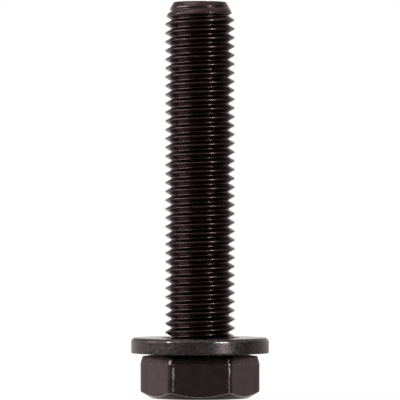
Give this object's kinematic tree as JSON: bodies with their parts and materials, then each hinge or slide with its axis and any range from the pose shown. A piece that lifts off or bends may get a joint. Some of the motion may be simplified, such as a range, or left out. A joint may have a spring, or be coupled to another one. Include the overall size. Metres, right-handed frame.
{
  "type": "hex head bolt with flat washer",
  "caption": "Black M16 hexagon-head bolt, threaded to the head, standing on its head with a thick flat washer seated under the bearing side.",
  "frame": {"origin": "centre of the flat end of the head, which the bolt stands on", "axes": "+Z runs along the shank from the head to the tip; one flat of the hexagon faces -Y and two corners lie on +X and -X"},
  "size_m": [0.0313, 0.0312, 0.09],
  "materials": {
    "bolt": "black oxide, satin",
    "washer": "black oxide, satin, worn bright on the upper outer edge"
  },
  "bodies": {
    "root": {"bolt": "bolt", "washer": "washer"}
  },
  "joints": []
}
